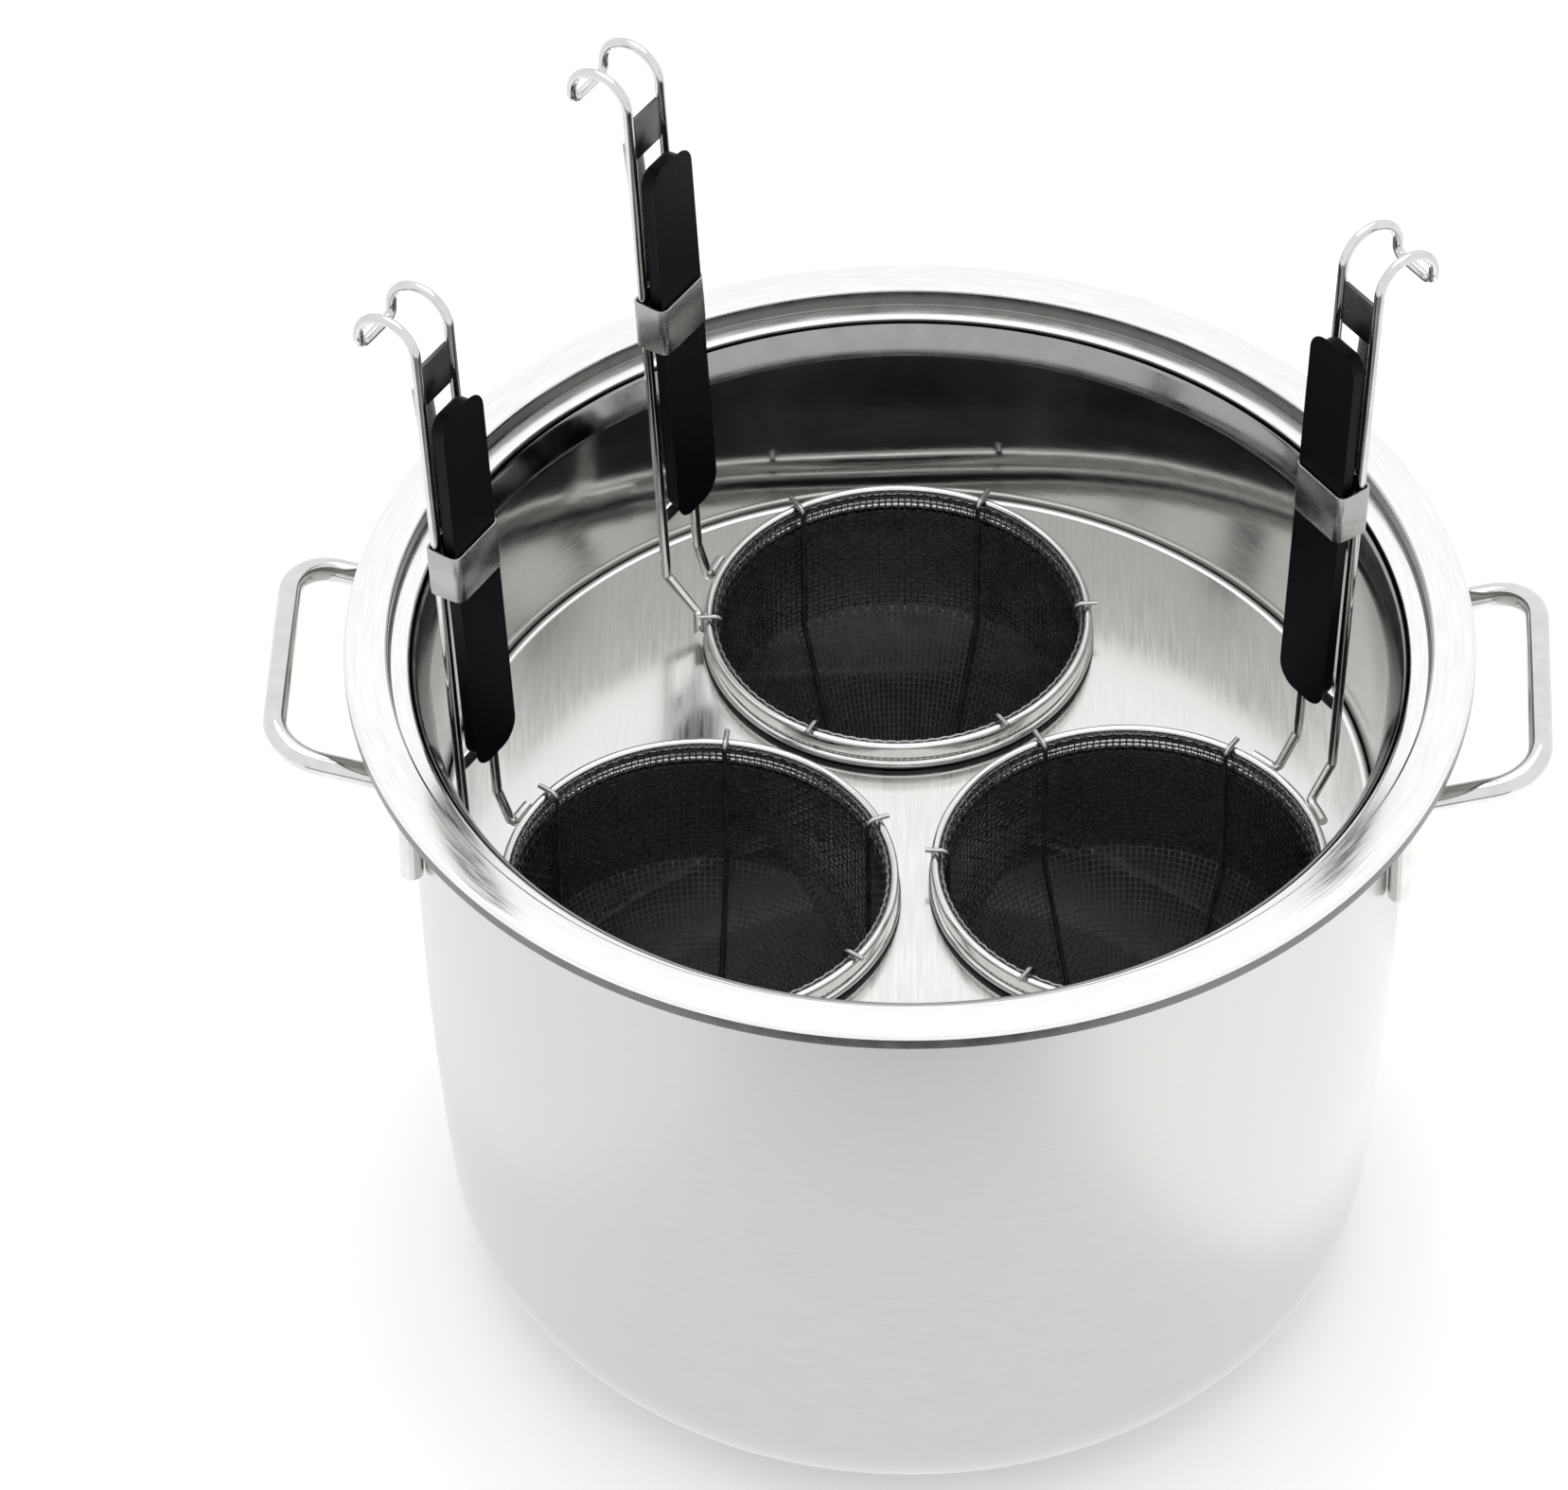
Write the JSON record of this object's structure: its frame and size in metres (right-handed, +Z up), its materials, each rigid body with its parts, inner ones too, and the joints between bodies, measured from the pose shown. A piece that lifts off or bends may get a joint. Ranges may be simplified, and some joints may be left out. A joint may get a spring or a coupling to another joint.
{
  "type": "pasta pot",
  "caption": "Tall round steel cooking pot with bent-rod side handles and a divider plate that carries lift-out tapered wire-mesh baskets with long upright grips and hooks.",
  "frame": {"origin": "centre of the pot's round base, on the surface it stands on", "axes": "+Z up, the side handles lie along X, the picture looks along +Y"},
  "size_m": [0.3662, 0.32, 0.3586],
  "materials": {
    "pot_steel": "satin outside, mirror polished inside",
    "handle_steel": "satin",
    "plate_steel": "polished",
    "woven_steel": "woven wire",
    "band_steel": "polished",
    "wire_steel": "drawn wire",
    "clip_steel": "bent sheet",
    "grip_plastic": "moulded, satin"
  },
  "bodies": {
    "pot": {"pot_body": "pot_steel", "side_handle_left": "handle_steel", "side_handle_right": "handle_steel", "plate_bracket_left": "pot_steel", "plate_bracket_right": "pot_steel", "plate_bracket_front": "pot_steel"},
    "divider": {"divider_plate": "plate_steel"},
    "basket_back": {"basket_back_cup": "woven_steel", "basket_back_rim_band": "band_steel", "basket_back_stop_ring": "band_steel", "basket_back_base_ring": "wire_steel", "basket_back_handle_wire": "wire_steel", "basket_back_upper_tie": "clip_steel", "basket_back_lower_tie": "clip_steel", "basket_back_grip": "grip_plastic", "basket_back_grip_clip": "clip_steel", "basket_back_rib_1": "wire_steel", "basket_back_rib_2": "wire_steel", "basket_back_rib_3": "wire_steel", "basket_back_rib_4": "wire_steel", "basket_back_rib_5": "wire_steel", "basket_back_rib_6": "wire_steel"},
    "basket_left": {"basket_left_cup": "woven_steel", "basket_left_rim_band": "band_steel", "basket_left_stop_ring": "band_steel", "basket_left_base_ring": "wire_steel", "basket_left_handle_wire": "wire_steel", "basket_left_upper_tie": "clip_steel", "basket_left_lower_tie": "clip_steel", "basket_left_grip": "grip_plastic", "basket_left_grip_clip": "clip_steel", "basket_left_rib_1": "wire_steel", "basket_left_rib_2": "wire_steel", "basket_left_rib_3": "wire_steel", "basket_left_rib_4": "wire_steel", "basket_left_rib_5": "wire_steel", "basket_left_rib_6": "wire_steel"},
    "basket_right": {"basket_right_cup": "woven_steel", "basket_right_rim_band": "band_steel", "basket_right_stop_ring": "band_steel", "basket_right_base_ring": "wire_steel", "basket_right_handle_wire": "wire_steel", "basket_right_upper_tie": "clip_steel", "basket_right_lower_tie": "clip_steel", "basket_right_grip": "grip_plastic", "basket_right_grip_clip": "clip_steel", "basket_right_rib_1": "wire_steel", "basket_right_rib_2": "wire_steel", "basket_right_rib_3": "wire_steel", "basket_right_rib_4": "wire_steel", "basket_right_rib_5": "wire_steel", "basket_right_rib_6": "wire_steel"}
  },
  "joints": [
    {"name": "divider_lift", "type": "slide", "parent": "pot", "child": "divider", "axis": [0, 0, 1], "range_m": [0, 0.2]},
    {"name": "basket_back_lift", "type": "slide", "parent": "divider", "child": "basket_back", "axis": [0, 0, 1], "range_m": [0, 0.2]},
    {"name": "basket_left_lift", "type": "slide", "parent": "divider", "child": "basket_left", "axis": [0, 0, 1], "range_m": [0, 0.2]},
    {"name": "basket_right_lift", "type": "slide", "parent": "divider", "child": "basket_right", "axis": [0, 0, 1], "range_m": [0, 0.2]}
  ]
}
